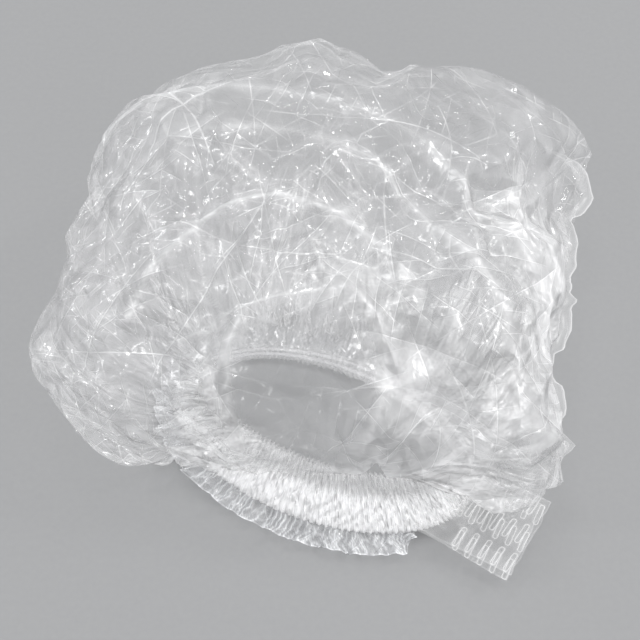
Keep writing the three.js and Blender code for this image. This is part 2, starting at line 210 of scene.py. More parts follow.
# Mesh object from a grid of points, closed or open round the first axis, with a UV in metres and masks.
def gridPiece(name, points, uv, masks=None, closed=True, pole=False, flip=False):
    n, m = points.shape[:2]
    i = np.arange(n if closed else n - 1)[:, None]
    k = np.arange(m - 1)[None, :]
    nextI = (i + 1) % n
    quads = np.stack([i * m + k, nextI * m + k, nextI * m + k + 1, i * m + k + 1], axis=-1).reshape(-1, 4)
    if flip:
        quads = quads[:, ::-1]
    vertices = points.reshape(-1, 3)
    corners = quads.reshape(-1)
    uvCorner = np.stack([i + 0 * k, i + 1 + 0 * k, i + 1 + 0 * k, i + 0 * k], axis=-1).reshape(-1, 4)
    kCorner = np.stack([k + 0 * i, k + 0 * i, k + 1 + 0 * i, k + 1 + 0 * i], axis=-1).reshape(-1, 4)
    if flip:
        uvCorner, kCorner = uvCorner[:, ::-1], kCorner[:, ::-1]
    sizes = np.full(len(quads), 4)
    uvFlat = uv[uvCorner.reshape(-1), kCorner.reshape(-1)]
    if pole:
        vertices = np.vstack([vertices, points[:, -1].mean(axis=0)])
        last = np.arange(n)
        fan = np.stack([last * m + m - 1, (last + 1) % n * m + m - 1, np.full(n, n * m)], axis=-1)
        if flip:
            fan = fan[:, ::-1]
        corners = np.concatenate([corners, fan.reshape(-1)])
        sizes = np.concatenate([sizes, np.full(n, 3)])
        uvFlat = np.concatenate([uvFlat, np.tile(uv[:, -1].mean(axis=0), (3 * n, 1))])
    mesh = bpy.data.meshes.new(name)
    mesh.vertices.add(len(vertices))
    mesh.vertices.foreach_set("co", vertices.astype(np.float32).reshape(-1))
    mesh.loops.add(len(corners))
    mesh.loops.foreach_set("vertex_index", corners.astype(np.int32))
    mesh.polygons.add(len(sizes))
    mesh.polygons.foreach_set("loop_start", np.concatenate([[0], np.cumsum(sizes)[:-1]]).astype(np.int32))
    mesh.update(calc_edges=True)
    mesh.polygons.foreach_set("use_smooth", np.ones(len(sizes), dtype=bool))
    layer = mesh.uv_layers.new(name="film")
    layer.data.foreach_set("uv", uvFlat.astype(np.float32).reshape(-1))
    for key, values in (masks or {}).items():
        flat = values.reshape(-1)
        if pole:
            flat = np.append(flat, values[:, -1].mean())
        mesh.attributes.new(key, "FLOAT", "POINT").data.foreach_set("value", flat.astype(np.float32))
    mesh.validate()
    piece = bpy.data.objects.new(name, mesh)
    bpy.context.scene.collection.objects.link(piece)
    return piece


# Node group with named inputs and outputs.
def newGroup(name, inputs, outputs):
    group = bpy.data.node_groups.new(name, "ShaderNodeTree")
    for label, kind, value in inputs:
        socket = group.interface.new_socket(name=label, in_out="INPUT", socket_type=kind)
        if value is not None:
            socket.default_value = value
    for label, kind in outputs:
        group.interface.new_socket(name=label, in_out="OUTPUT", socket_type=kind)
    return group, group.nodes.new("NodeGroupInput"), group.nodes.new("NodeGroupOutput")


# One Math node, each input a number or a socket.
def mathNode(tree, operation, a, b=None, clamp=False):
    node = tree.nodes.new("ShaderNodeMath")
    node.operation = operation
    node.use_clamp = clamp
    for socket, value in zip(node.inputs, (a, b)):
        if value is None:
            continue
        if isinstance(value, (int, float)):
            socket.default_value = value
        else:
            tree.links.new(value, socket)
    return node.outputs[0]


# Straight-line change of range, held at both ends.
def remap(tree, value, fromLow, fromHigh, toLow, toHigh):
    node = tree.nodes.new("ShaderNodeMapRange")
    tree.links.new(value, node.inputs["Value"])
    numbers = {"From Min": fromLow, "From Max": fromHigh, "To Min": toLow, "To Max": toHigh}
    for label, number in numbers.items():
        if isinstance(number, (int, float)):
            node.inputs[label].default_value = number
        else:
            tree.links.new(number, node.inputs[label])
    return node.outputs["Result"]


# Straight folds in three directions: a ping-pong of the distance along each, kept where a slow noise is high.
def foldGroup():
    group, start, end = newGroup(
        "filmFolds",
        [("Vector", "NodeSocketVector", None), ("First", "NodeSocketVector", (1, 0, 0)),
         ("Second", "NodeSocketVector", (0, 1, 0)), ("Third", "NodeSocketVector", (1, 1, 0)),
         ("Period", "NodeSocketFloat", 0.02), ("Width", "NodeSocketFloat", 0.0005),
         ("Warp", "NodeSocketFloat", 0.01), ("Patch", "NodeSocketFloat", 40.0),
         ("Amount", "NodeSocketFloat", 0.5)],
        [("Line", "NodeSocketFloat"), ("Height", "NodeSocketFloat")],
    )
    noise = group.nodes.new("ShaderNodeTexNoise")
    noise.inputs["Scale"].default_value = 11
    noise.inputs["Detail"].default_value = 0
    group.links.new(start.outputs["Vector"], noise.inputs["Vector"])
    scaled = group.nodes.new("ShaderNodeVectorMath")
    scaled.operation = "SCALE"
    group.links.new(noise.outputs["Color"], scaled.inputs[0])
    group.links.new(start.outputs["Warp"], scaled.inputs["Scale"])
    moved = group.nodes.new("ShaderNodeVectorMath")
    group.links.new(start.outputs["Vector"], moved.inputs[0])
    group.links.new(scaled.outputs[0], moved.inputs[1])
    patch = group.nodes.new("ShaderNodeTexNoise")
    patch.inputs["Detail"].default_value = 2
    group.links.new(start.outputs["Vector"], patch.inputs["Vector"])
    group.links.new(start.outputs["Patch"], patch.inputs["Scale"])
    split = group.nodes.new("ShaderNodeSeparateColor")
    group.links.new(patch.outputs["Color"], split.inputs[0])
    line, height = None, None
    for k, label in enumerate(("First", "Second", "Third")):
        along = group.nodes.new("ShaderNodeVectorMath")
        along.operation = "DOT_PRODUCT"
        group.links.new(moved.outputs[0], along.inputs[0])
        group.links.new(start.outputs[label], along.inputs[1])
        fold = mathNode(group, "PINGPONG", along.outputs["Value"], start.outputs["Period"])
        kept = remap(group, split.outputs[k], start.outputs["Amount"], 0.72, 0.0, 1.0)
        thin = mathNode(group, "MULTIPLY", remap(group, fold, 0.0, start.outputs["Width"], 1.0, 0.0), kept)
        rise = mathNode(group, "MULTIPLY", fold, kept)
        line = thin if line is None else mathNode(group, "MAXIMUM", line, thin)
        height = rise if height is None else mathNode(group, "ADD", height, rise)
    group.links.new(line, end.inputs["Line"])
    group.links.new(height, end.inputs["Height"])
    return group


# Milky patches: one slow noise, stretched to full contrast.
def hazeGroup():
    group, start, end = newGroup(
        "filmHaze",
        [("Vector", "NodeSocketVector", None), ("Scale", "NodeSocketFloat", 18.0)],
        [("Haze", "NodeSocketFloat")],
    )
    slow = group.nodes.new("ShaderNodeTexNoise")
    slow.inputs["Detail"].default_value = 4
    slow.inputs["Distortion"].default_value = 0.4
    group.links.new(start.outputs["Vector"], slow.inputs["Vector"])
    group.links.new(start.outputs["Scale"], slow.inputs["Scale"])
    group.links.new(remap(group, slow.outputs["Fac"], 0.42, 0.64, 0.0, 1.0), end.inputs["Haze"])
    return group


groups = {}
foldDirections = (("First", 0), ("Second", 57), ("Third", 118))  # degrees from the first
edgeBlend = 0.35
clearAlpha = 0.35  # what is left of the alpha where the film is pulled clear


# Clear film: low alpha, raised by haze, fold lines, creases, whitening (dense film, welds and painted
# highlights) and where the film is seen edge on, then multiplied down where the film is pulled clear.
def filmMaterial(name, look):
    if not groups:
        groups["folds"] = foldGroup()
        groups["haze"] = hazeGroup()
    material = bpy.data.materials.new(name)
    material.use_nodes = True
    tree = material.node_tree
    shader = tree.nodes["Principled BSDF"]
    shader.inputs["Base Color"].default_value = (*look["colour"], 1)
    shader.inputs["IOR"].default_value = look["ior"]
    uvNode = tree.nodes.new("ShaderNodeUVMap")
    uvNode.uv_map = "film"
    place = uvNode.outputs["UV"]

    lines, heights = [], []
    for turn, period, width, warp, patch, amount, slope in look["folds"]:
        node = tree.nodes.new("ShaderNodeGroup")
        node.node_tree = groups["folds"]
        tree.links.new(place, node.inputs["Vector"])
        for label, more in foldDirections:
            direction = math.radians(turn + more)
            node.inputs[label].default_value = (math.cos(direction), math.sin(direction), 0)
        values = (("Period", period), ("Width", width), ("Warp", warp), ("Patch", patch), ("Amount", amount))
        for label, value in values:
            node.inputs[label].default_value = value
        lines.append(node.outputs["Line"])
        heights.append(mathNode(tree, "MULTIPLY", node.outputs["Height"], slope))
    line = lines[0]
    for other in lines[1:]:
        line = mathNode(tree, "MAXIMUM", line, other)
    height = heights[0]
    for other in heights[1:]:
        height = mathNode(tree, "ADD", height, other)

    haze = tree.nodes.new("ShaderNodeGroup")
    haze.node_tree = groups["haze"]
    tree.links.new(place, haze.inputs["Vector"])
    haze.inputs["Scale"].default_value = look["hazeScale"]

    crease = tree.nodes.new("ShaderNodeAttribute")
    crease.attribute_name = "crease"
    edgeOn = tree.nodes.new("ShaderNodeLayerWeight")
    edgeOn.inputs["Blend"].default_value = edgeBlend

    alpha = mathNode(tree, "MULTIPLY_ADD", haze.outputs["Haze"], look["hazeAlpha"])
    alpha.node.inputs[2].default_value = look["alpha"]
    raisers = {"lineAlpha": line, "creaseAlpha": crease.outputs["Fac"], "edgeAlpha": edgeOn.outputs["Facing"]}
    for key, raiser in raisers.items():
        alpha = mathNode(tree, "ADD", alpha, mathNode(tree, "MULTIPLY", raiser, look[key]))
    # whiter film from the mesh: dense gathers and welds, and on the crown also painted highlights
    whitening = tree.nodes.new("ShaderNodeAttribute")
    whitening.attribute_name = "whitening"
    alpha = mathNode(tree, "ADD", alpha, whitening.outputs["Fac"], clamp=True)
    clear = tree.nodes.new("ShaderNodeAttribute")
    clear.attribute_name = "clear"
    alpha = mathNode(tree, "MULTIPLY", alpha, remap(tree, clear.outputs["Fac"], 0.0, 1.0, 1.0, clearAlpha))
    # film scatters light forward, so a lamp's ray is dimmed less than the eye's
    path = tree.nodes.new("ShaderNodeLightPath")
    relief = remap(tree, path.outputs["Is Shadow Ray"], 0.0, 1.0, 1.0, look["shade"])
    alpha = mathNode(tree, "MULTIPLY", alpha, relief)
    tree.links.new(alpha, shader.inputs["Alpha"])

    rough = remap(tree, haze.outputs["Haze"], 0.0, 1.0, look["roughness"][0], look["roughness"][1])
    rough = mathNode(tree, "ADD", rough, whitening.outputs["Fac"])
    tree.links.new(rough, shader.inputs["Roughness"])

    bump = tree.nodes.new("ShaderNodeBump")
    bump.inputs["Strength"].default_value = look["bump"]
    bump.inputs["Distance"].default_value = 1.0
    tree.links.new(height, bump.inputs["Height"])
    tree.links.new(bump.outputs["Normal"], shader.inputs["Normal"])
    return material


crown = {
    "columns": 360,
    "rows": 270,
    "centre": (0.0, 0.058),  # in plan, from the middle of the mouth
    "radius": 0.107,
    "apex": (-0.004, 0.066, 0.103),
    "domePowers": (0.85, 0.9),  # of the cosine in plan and the sine in height
    "girthShare": 0.42,  # of the rows, where the underside turns into the top
    "girthHeight": 0.035,
    "neckGap": (0.0009, 0.0006),  # outwards and up from the hem's upper edge
    "fall": 0.047,  # plan distance in which the underside comes down from the neck
    "floorGap": 0.0006,
    # bulges as degrees round the crown, metres and spread in degrees: outwards at the girth, then upwards at
    # the girth, on the underside and on the top
    "girthLobes": [(27, 0.019, 13), (46, 0.010, 11), (62, -0.007, 10), (86, 0.014, 11), (128, 0.008, 12),
                   (168, -0.002, 10), (192, 0.011, 20), (210, 0.013, 13), (264, -0.021, 42), (313, 0.024, 13),
                   (336, -0.006, 10), (357, -0.011, 20)],
    "girthRises": [(266, 0.017, 42), (322, -0.007, 20)],
    "undersideRises": [(322, 0.0168, 30)],
    "topPuffs": [(60, -0.001, 18), (100, -0.004, 15), (150, 0.006, 22), (205, -0.003, 20), (245, 0.004, 22),
                 (300, -0.005, 24)],
    # large folds over the top: arcs in plan as centre, radius, first and last degree and width, and the rise
    "archFolds": [((-0.040, -0.080, 0.107, -8, 108, 0.010), 0.0042),
                  ((-0.052, -0.100, 0.150, 10, 118, 0.012), 0.0035),
                  ((-0.020, -0.060, 0.055, 10, 175, 0.008), 0.0030),
                  ((-0.010, -0.050, 0.102, 8, 52, 0.013), 0.0050),
                  ((-0.008, -0.066, 0.029, 140, 235, 0.006), 0.0028),
                  ((-0.014, -0.064, 0.033, -45, 62, 0.006), 0.0028)],
    "flatReach": 0.29,  # half the side of the flat film's square
    "foldFields": [(11, 5, 0.052, 0.42), (12, 3, 0.024, 0.30)],  # seed, directions, step and steepness
    # seed, count, lengths, widths as shares of the length and steepness
    "pyramids": [(13, 90, (0.05, 0.15), (0.07, 0.14), (0.35, 0.60)),
                 (15, 150, (0.018, 0.050), (0.07, 0.16), (0.35, 0.60))],
    "pushLimits": (-0.0060, 0.0052),
    "smoothCentre": (-0.010, -0.066),
    "smoothRadii": (0.025, 0.019),
    # count, depth, fade and seed
    "gathers": [(62, 0.0024, 0.016, 1), (31, 0.0032, 0.040, 2), (17, 0.0035, 0.085, 3)],
    "fullCrease": 900,
    "flat": (0.34, 0.37),
    "creaseStart": (0.004, 0.03),  # from the neck, and the distance in which the creases grow
    "tightRoom": (0.010, 0.035),  # plan distance from neck to girth with no gathers, and what it takes for all
    "tightLeast": 0.08,
    "tightFade": 0.045,
    "neckDensity": (0.16, 0.012),  # and how far from the neck it fades
    "ridgePaintedLight": (0.24, 0.05),  # painted highlight along a large fold's crest, and painted light over its flanks
    "loopDensity": (0.10, 2.2),  # round the smooth patch, out to so many of its radii
    "backDensity": (-0.065, 0.010, 0.06),  # from this Y backwards, over this distance
    "frontDensity": (0.08, -0.005, 0.05),  # from this Y forwards, over this distance
    # where the film lies in more folds, whitened further as a painted highlight on the sides that face the
    # lamps: middle in plan, share of the distance along Y, radius and density
    "foldAndPaintedHighlightPatches": [((0.042, -0.084), 1, 0.026, 0.20), ((0.076, -0.015), 0.45, 0.025, 0.15),
                      ((-0.082, -0.005), 0.6, 0.035, 0.04)],
    "look": {
        "colour": (0.95, 0.95, 0.955),
        "ior": 2.2,
        "shade": 0.16,  # share of the alpha that a lamp's ray meets
        "alpha": 0.03,
        "hazeAlpha": 0.13,
        "hazeScale": 15,
        "lineAlpha": 0.62,
        "creaseAlpha": 0.24,
        "edgeAlpha": 0.24,
        "roughness": (0.05, 0.15),
        "bump": 1.0,
        # direction, period, line width, warp, patch scale, least patch and slope
        "folds": [(20, 0.026, 0.0005, 0.05, 24, 0.40, 0.36), (75, 0.0105, 0.00035, 0.03, 38, 0.42, 0.48),
                  (48, 0.0042, 0.00025, 0.012, 46, 0.48, 0.55)],
    },
}


# Sum of bell curves round the circle.
def bumps(degrees, table):
    total = np.zeros_like(degrees)
    for centre, out, spread in table:
        apart = (degrees - centre + 540) % 360 - 180
        total = total + out * np.exp(-((apart / spread) ** 2))
    return total


# Crown before it crumples. The first parameter goes round, the second from the neck along the underside to
# the girth and over the top to the apex: a falling and a rising arc below, a flattened dome above.
def crownBase(angle, share):
    degrees = np.degrees(angle)
    split = crown["girthShare"]
    out, up = crown["neckGap"]
    start = mouthPoint(angle - mouth["turn"], hemOffsets[0] + out, hemHeights[0] + up)
    radius = crown["radius"] + bumps(degrees, crown["girthLobes"])
    girth = np.stack([
        crown["centre"][0] + mouthCentre[0] + radius * np.cos(angle),
        crown["centre"][1] + mouthCentre[1] + radius * np.sin(angle),
        crown["girthHeight"] + bumps(degrees, crown["girthRises"]),
    ], axis=-1)
    apex = np.array([crown["apex"][0] + mouthCentre[0], crown["apex"][1] + mouthCentre[1], crown["apex"][2]])
    reach = np.hypot(girth[..., 0] - start[..., 0], girth[..., 1] - start[..., 1])
    under = np.sin(np.clip(share / split, 0, 1) * np.pi / 2)
    floor = bumps(degrees, crown["undersideRises"])
    fallen = np.clip(reach * under / crown["fall"], 0, 1)
    fall = floor + (start[..., 2] - floor) * 0.5 * (1 + np.cos(np.pi * fallen))
    bend = np.clip(1 - reach * (1 - under) / (girth[..., 2] - floor), 0, 1)
    rise = floor + (girth[..., 2] - floor) * (1 - np.sqrt(1 - bend ** 2))
    below = start + (girth - start) * under[..., None]
    below[..., 2] = np.maximum(fall, rise)
    turn = np.clip((share - split) / (1 - split), 0, 1) * np.pi / 2
    planPower, heightPower = crown["domePowers"]
    above = apex + (girth - apex) * (np.cos(turn) ** planPower)[..., None]
    above[..., 2] = girth[..., 2] + (apex[2] - girth[..., 2]) * np.sin(turn) ** heightPower
    above[..., 2] += bumps(degrees, crown["topPuffs"]) * np.sin(2 * turn) ** 2
    return np.where((share < split)[..., None], below, above)


# The crown's base, pushed along its normal by folds, creases, arcs and the gathers that fade from the neck.
def makeCrown():
    n, m = crown["columns"], crown["rows"]
    angle = (np.arange(n + 1) / n * 2 * np.pi)[:, None] + np.zeros((1, m))
    share = np.zeros((n + 1, 1)) + np.linspace(0, 0.995, m)[None, :]
    base = crownBase(angle, share)
    # the flat film's polar coordinates: distance from the apex along the surface
    steps = np.linalg.norm(np.diff(base, axis=1), axis=-1)
    fromNeck = np.concatenate([np.zeros((n + 1, 1)), np.cumsum(steps, axis=1)], axis=1)
    toApex = fromNeck[:, -1:] - fromNeck + 0.001
    flatX, flatY = toApex * np.cos(angle), toApex * np.sin(angle)
    uv = np.stack([flatX, flatY], axis=-1)
    base, angle, share = base[:-1], angle[:-1], share[:-1]
    fromNeck, flatX, flatY = fromNeck[:-1], flatX[:-1], flatY[:-1]

    normal = gridNormals(base, True)
    span = (crown["flatReach"], crown["flatReach"])
    push = np.zeros_like(flatX)
    for seed, directions, step, steepness in crown["foldFields"]:
        push += foldField(flatX, flatY, seed, directions, step, steepness)
    for seed, count, lengths, slenderness, steepness in crown["pyramids"]:
        push += crumple(flatX, flatY, scatter(seed, count, span, lengths, slenderness, steepness))
    top = np.clip((share - 0.36) / 0.05, 0, 1)  # fades in a little below the girth
    for arc, rise in crown["archFolds"]:
        push += rise * arcRidge(base[..., 0], base[..., 1], arc) * top
    push = np.clip(push, *crown["pushLimits"])
    # the film that hangs over the front of the mouth is pulled smooth and clear
    patchX, patchY = base[..., 0] - crown["smoothCentre"][0], base[..., 1] - crown["smoothCentre"][1]
    apart = np.hypot(patchX / crown["smoothRadii"][0], patchY / crown["smoothRadii"][1])
    clear = np.exp(-(apart ** 4))
    push = push * (1 - 0.6 * clear)
    # gathers fade out from the neck, the fine ones first, and only the finest start at full depth
    first, growth = crown["creaseStart"]
    push = push * np.clip((fromNeck - first) / growth, 0, 1)
    gathers = np.zeros_like(push)
    finest = crown["gathers"][0][0]
    for count, depth, fade, seed in crown["gathers"]:
        lean = 3.0 * (count / finest) * wander(angle + fromNeck * 6, seed + 40)
        phase = count * angle + 2.2 * wander(angle, seed) + lean
        swell = 1 + 0.5 * wander(angle, seed + 20, (4, 9, 13))
        grow = np.clip(fromNeck / 0.008, 0, 1) if count < finest else 1
        gathers += depth * swell * grow * zigzag(phase) * np.exp(-((fromNeck / fade) ** 2))
    facing = frontShare(angle - mouth["turn"], 0.25)
    gathers = gathers * (0.35 + 0.65 * facing)
    # where the girth passes close over the neck the film has no room for deep gathers
    girthRow = int(crown["girthShare"] * m)
    room = np.linalg.norm(base[:, girthRow:girthRow + 1, :2] - base[:, :1, :2], axis=-1)
    none, enough = crown["tightRoom"]
    freedom = np.clip((room - none) / enough, crown["tightLeast"], 1)
    tight = 1 - (1 - freedom) * np.exp(-((fromNeck / crown["tightFade"]) ** 2))
    gathers = gathers * tight
    push = push * tight
    points = base + normal * (push + gathers)[..., None]
    clearance = crown["floorGap"] * (1 + np.abs(wander(angle * 3, 9)))
    points[..., 2] = np.maximum(points[..., 2], clearance)
    mask = creaseMask(points, True, crown["fullCrease"])
    mask = mask * (1 - (1 - facing) * np.exp(-((fromNeck / 0.030) ** 2))) * tight ** 2
    density, reach = crown["neckDensity"]
    whitening = density * facing * np.exp(-((fromNeck / reach) ** 2))
    clear = np.maximum(clear, (1 - facing) * np.exp(-((fromNeck / 0.020) ** 2)))
    # painted highlight along each large fold's crest, and painted light over its flanks
    for arc, rise in crown["archFolds"]:
        ridge = arcRidge(base[..., 0], base[..., 1], arc)
        whitening = whitening + top * (crown["ridgePaintedLight"][0] * ridge ** 5 + crown["ridgePaintedLight"][1] * ridge)
    # the film round the hollow, the sides and the front lie in more folds than the rest; on the sides the
    # whiter film is also a painted highlight
    density, reach = crown["loopDensity"]
    whitening = whitening + density * np.exp(-((apart / reach) ** 4)) * (1 - clear)
    density, edge, reach = crown["backDensity"]
    whitening = whitening + density * np.clip((base[..., 1] - edge) / reach, 0, 1)
    # painted highlight: patches of whiter film on the sides that face the lamps, over their extra folds
    for middle, squeeze, radius, density in crown["foldAndPaintedHighlightPatches"]:
        away = np.hypot(base[..., 0] - middle[0], (base[..., 1] - middle[1]) * squeeze)
        whitening = whitening + density * np.exp(-((away / radius) ** 2))
    density, edge, reach = crown["frontDensity"]
    whitening = whitening + density * np.clip((edge - base[..., 1]) / reach, 0, 1)
    masks = {"crease": mask, "whitening": whitening, "clear": clear}
    piece = gridPiece("crownFilm", points, uv, masks, pole=True)
    piece.data.materials.append(filmMaterial("clearFilm", crown["look"]))
    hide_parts("crown_film")
    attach(piece, "root")
    finish("the crown")
    return piece, points


hem = {
    "columns": 1100,
    "rows": 26,
    "gathers": 136,
    "depth": 0.0029,
    "puff": (0.0011, 0.0016),  # from the section's middle, and what the elastic adds
    "bandReach": 0.0085,
    "density": {1: 0.78, -1: 0.45},  # of the band, outer and inner ply
    "fullCrease": 2600,
    "flat": (0.029, 0.68),
    "look": {
        "colour": (0.98, 0.98, 0.985),
        "ior": 1.4,
        "shade": 0.25,
        "alpha": 0.10,
        "hazeAlpha": 0.12,
        "hazeScale": 120,
        "lineAlpha": 0.40,
        "creaseAlpha": 0.22,
        "edgeAlpha": 0.25,
        "roughness": (0.40, 0.60),
        "bump": 1.0,
        "folds": [(10, 0.0024, 0.0002, 0.006, 120, 0.38, 0.5)],
    },
}


# Zigzag gathers of uneven depth and spacing, finer and shallower over the elastic.
def gatherHeight(angle, across, count, seed, depth):
    lean = 1.4 * wander(angle + across * 40, seed + 5)
    big = zigzag(count * angle + 3 * wander(angle, seed) + lean)
    small = zigzag(round(2.3 * count) * angle + 4 * wander(angle, seed + 1) + 2 * lean)
    uneven = 1 + 0.55 * wander(angle, seed + 2, (9, 17, 29, 41))
    return depth * uneven * (0.75 * big + 0.4 * small)


# One ply of the hem: the section carried round the mouth, puffed over the elastic and gathered.
def makePly(name, side, node, seed):
    n, m = hem["columns"], hem["rows"]
    angle = (np.arange(n + 1) / n * 2 * np.pi)[:, None] + np.zeros((1, m))
    across = np.linspace(0, hemAcross[2], m)[None, :] + np.zeros((n + 1, 1))
    bandMiddle = weldLength + channelWidth + weldLength / 2
    overBand = np.exp(-(((across - bandMiddle) / hem["bandReach"]) ** 4))
    puff = hem["puff"][0] + hem["puff"][1] * overBand
    facing = frontShare(angle, 0.15)
    depth = hem["depth"] * (1 - 0.72 * overBand) * np.clip(0.5 + across / 0.004, 0, 1)
    depth = depth * (0.45 + 0.65 * facing)
    push = side * puff + gatherHeight(angle, across, hem["gathers"], seed, 1) * depth
    points = hemPoint(angle, across, push)
    uv = np.stack([angle * filmPerRadian, across], axis=-1)
    points = points[:-1]
    mask = creaseMask(points, True, hem["fullCrease"]) * facing[:-1]
    fluff = 1 + 0.35 * wander(angle, seed + 9, (31, 57, 83, 111, 163))
    fluff = fluff + 0.30 * wander(angle + across * 90, seed + 8, (67, 139))
    cross = wander(angle - across * 150, seed + 7, (103, 171, 233))
    cross = cross * wander(angle + across * 260, seed + 6, (47, 89))
    fluff = fluff + 0.35 * cross
    whitening = hem["density"][side] * overBand * fluff * facing
    masks = {"crease": mask, "whitening": whitening[:-1], "clear": 1 - facing[:-1]}
    piece = gridPiece(name, points, uv, masks, flip=side < 0)
    material = bpy.data.materials.get("gatheredFilm") or filmMaterial("gatheredFilm", hem["look"])
    piece.data.materials.append(material)
    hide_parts(node)
    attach(piece, "root")
    finish(name)


frill = {
    "columns": 1100,
    "rows": 12,
    "ruffles": 38,
    "depth": 0.0040,
    "from": math.radians(12),  # round the mouth, from one side of the seal tab to the other
    "to": math.radians(318),
    "farthest": 0.0014,  # past the hem's last corner
    "floorGap": 0.0004,
    "hemmed": 0.45,
    "fullCrease": 2200,
    "flat": (0.010, 0.58),
    "look": {
        "colour": (0.94, 0.95, 0.97),
        "ior": 2.0,
        "shade": 0.35,
        "alpha": 0.10,
        "hazeAlpha": 0.10,
        "hazeScale": 90,
        "lineAlpha": 0.45,
        "creaseAlpha": 0.55,
        "edgeAlpha": 0.25,
        "roughness": (0.10, 0.25),
        "bump": 1.0,
        "folds": [(10, 0.004, 0.0003, 0.006, 90, 0.42, 0.4)],
    },
}


# The frill: the hem's last step carried on outwards, its ruffles growing towards a wavering edge.
def makeFrill():
    n, m = frill["columns"], frill["rows"]
    start, stop = frill["from"], frill["to"]
    angle = np.linspace(start, stop, n)[:, None] + np.zeros((1, m))
    share = np.linspace(0, 1, m)[None, :] + np.zeros((n, 1))
    ends = np.clip(np.minimum(angle - start, stop - angle) / 0.10, 0.35, 1)
    reach = ends * (0.97 + 0.18 * wander(angle, 71, (17, 33, 47, 61, 79)) * share)
    across = hemAcross[2] + weldLength * share * reach
    shifted = angle + 0.05 * wander(angle, 75, (7, 12, 19, 26))
    wave = gatherHeight(shifted, share * 0.03, frill["ruffles"], 33, 1)
    wave = wave + 0.5 * wander(angle + share * 0.1, 77, (41, 73, 109))
    dents = scatter(78, 260, (0.17, 0.006), (0.003, 0.009), (0.25, 0.55), (0.50, 1.00))
    ruffle = crumple(angle * 0.062 - 0.178, (share - 0.5) * weldLength, dents)
    facing = frontShare(angle, 0.2)
    push = 0.0008 + frill["depth"] * (0.4 + 0.7 * facing) * wave * (0.25 + 0.75 * share)
    push = push + ruffle * share + 0.0009 * share
    points = hemPoint(angle, np.minimum(across, hemAcross[3] + frill["farthest"]), push)
    points[..., 2] = np.maximum(points[..., 2], frill["floorGap"])
    uv = np.stack([angle * filmPerRadian, across], axis=-1)
    mask = creaseMask(points, False, frill["fullCrease"]) * facing
    hemmed = frill["hemmed"] * np.clip((share - 0.93) / 0.07, 0, 1) * facing
    masks = {"crease": mask, "whitening": hemmed, "clear": 1 - facing}
    piece = gridPiece("frillFilm", points, uv, masks, closed=False)
    piece.data.materials.append(filmMaterial("frillFilm", frill["look"]))
    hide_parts("frill")
    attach(piece, "root")
    finish("the frill")


tab = {
    "turn": math.radians(-30.5),
    "width": hemAcross[3],
    "length": 0.030,
    "grid": (210, 170),
    "weldHalfWidth": 0.00125,
    "weldRise": 0.0004,
    "weldWall": 0.00026,
    "weldColumns": {-1: 5, 0: 6, 1: 6},  # in each row across the tab
    "weldShift": {1: (0.0026, 0.10), -1: (-0.0008, -0.06)},  # metres and slant, front and back ply
    "pitch": 0.0055,
    "tipMargin": 0.0022,
    "rootOffset": 0.0045,  # from the mouth's ellipse
    "rootSlack": 0.012,
    "plyGap": 0.0006,
    "border": 0.0004,
    "fullCrease": 3000,
    "flat": (0.036, 0.040),
    "look": {
        "colour": (0.95, 0.95, 0.95),
        "ior": 1.6,
        "shade": 0.9,
        "alpha": 0.04,
        "hazeAlpha": 0.06,
        "hazeScale": 60,
        "lineAlpha": 0.20,
        "creaseAlpha": 0.08,
        "edgeAlpha": 0.12,
        "roughness": (0.12, 0.25),
        "bump": 1.0,
        "folds": [(25, 0.008, 0.0003, 0.008, 60, 0.48, 0.2)],
    },
}


# Rim of every weld mark: a bell curve over the distance to the oblong's outline.
def weldRims(x, y, tip, shift, slant):
    total = np.zeros_like(x)
    rows = ((-1, 0.0), (0, shift * 0.5), (1, shift))
    straight = weldLength / 2 - tab["weldHalfWidth"]
    for row, rowShift in rows:
        cy = row * (tab["width"] - weldLength) / 2
        for column in range(tab["weldColumns"][row]):
            cx = tip - tab["tipMargin"] - column * tab["pitch"] - rowShift
            dy = y - cy
            dx = x - cx - slant * dy
            d = np.hypot(dx, np.maximum(np.abs(dy) - straight, 0)) - tab["weldHalfWidth"] * 0.75
            total = np.maximum(total, np.exp(-((d / tab["weldWall"]) ** 2)))
    return total


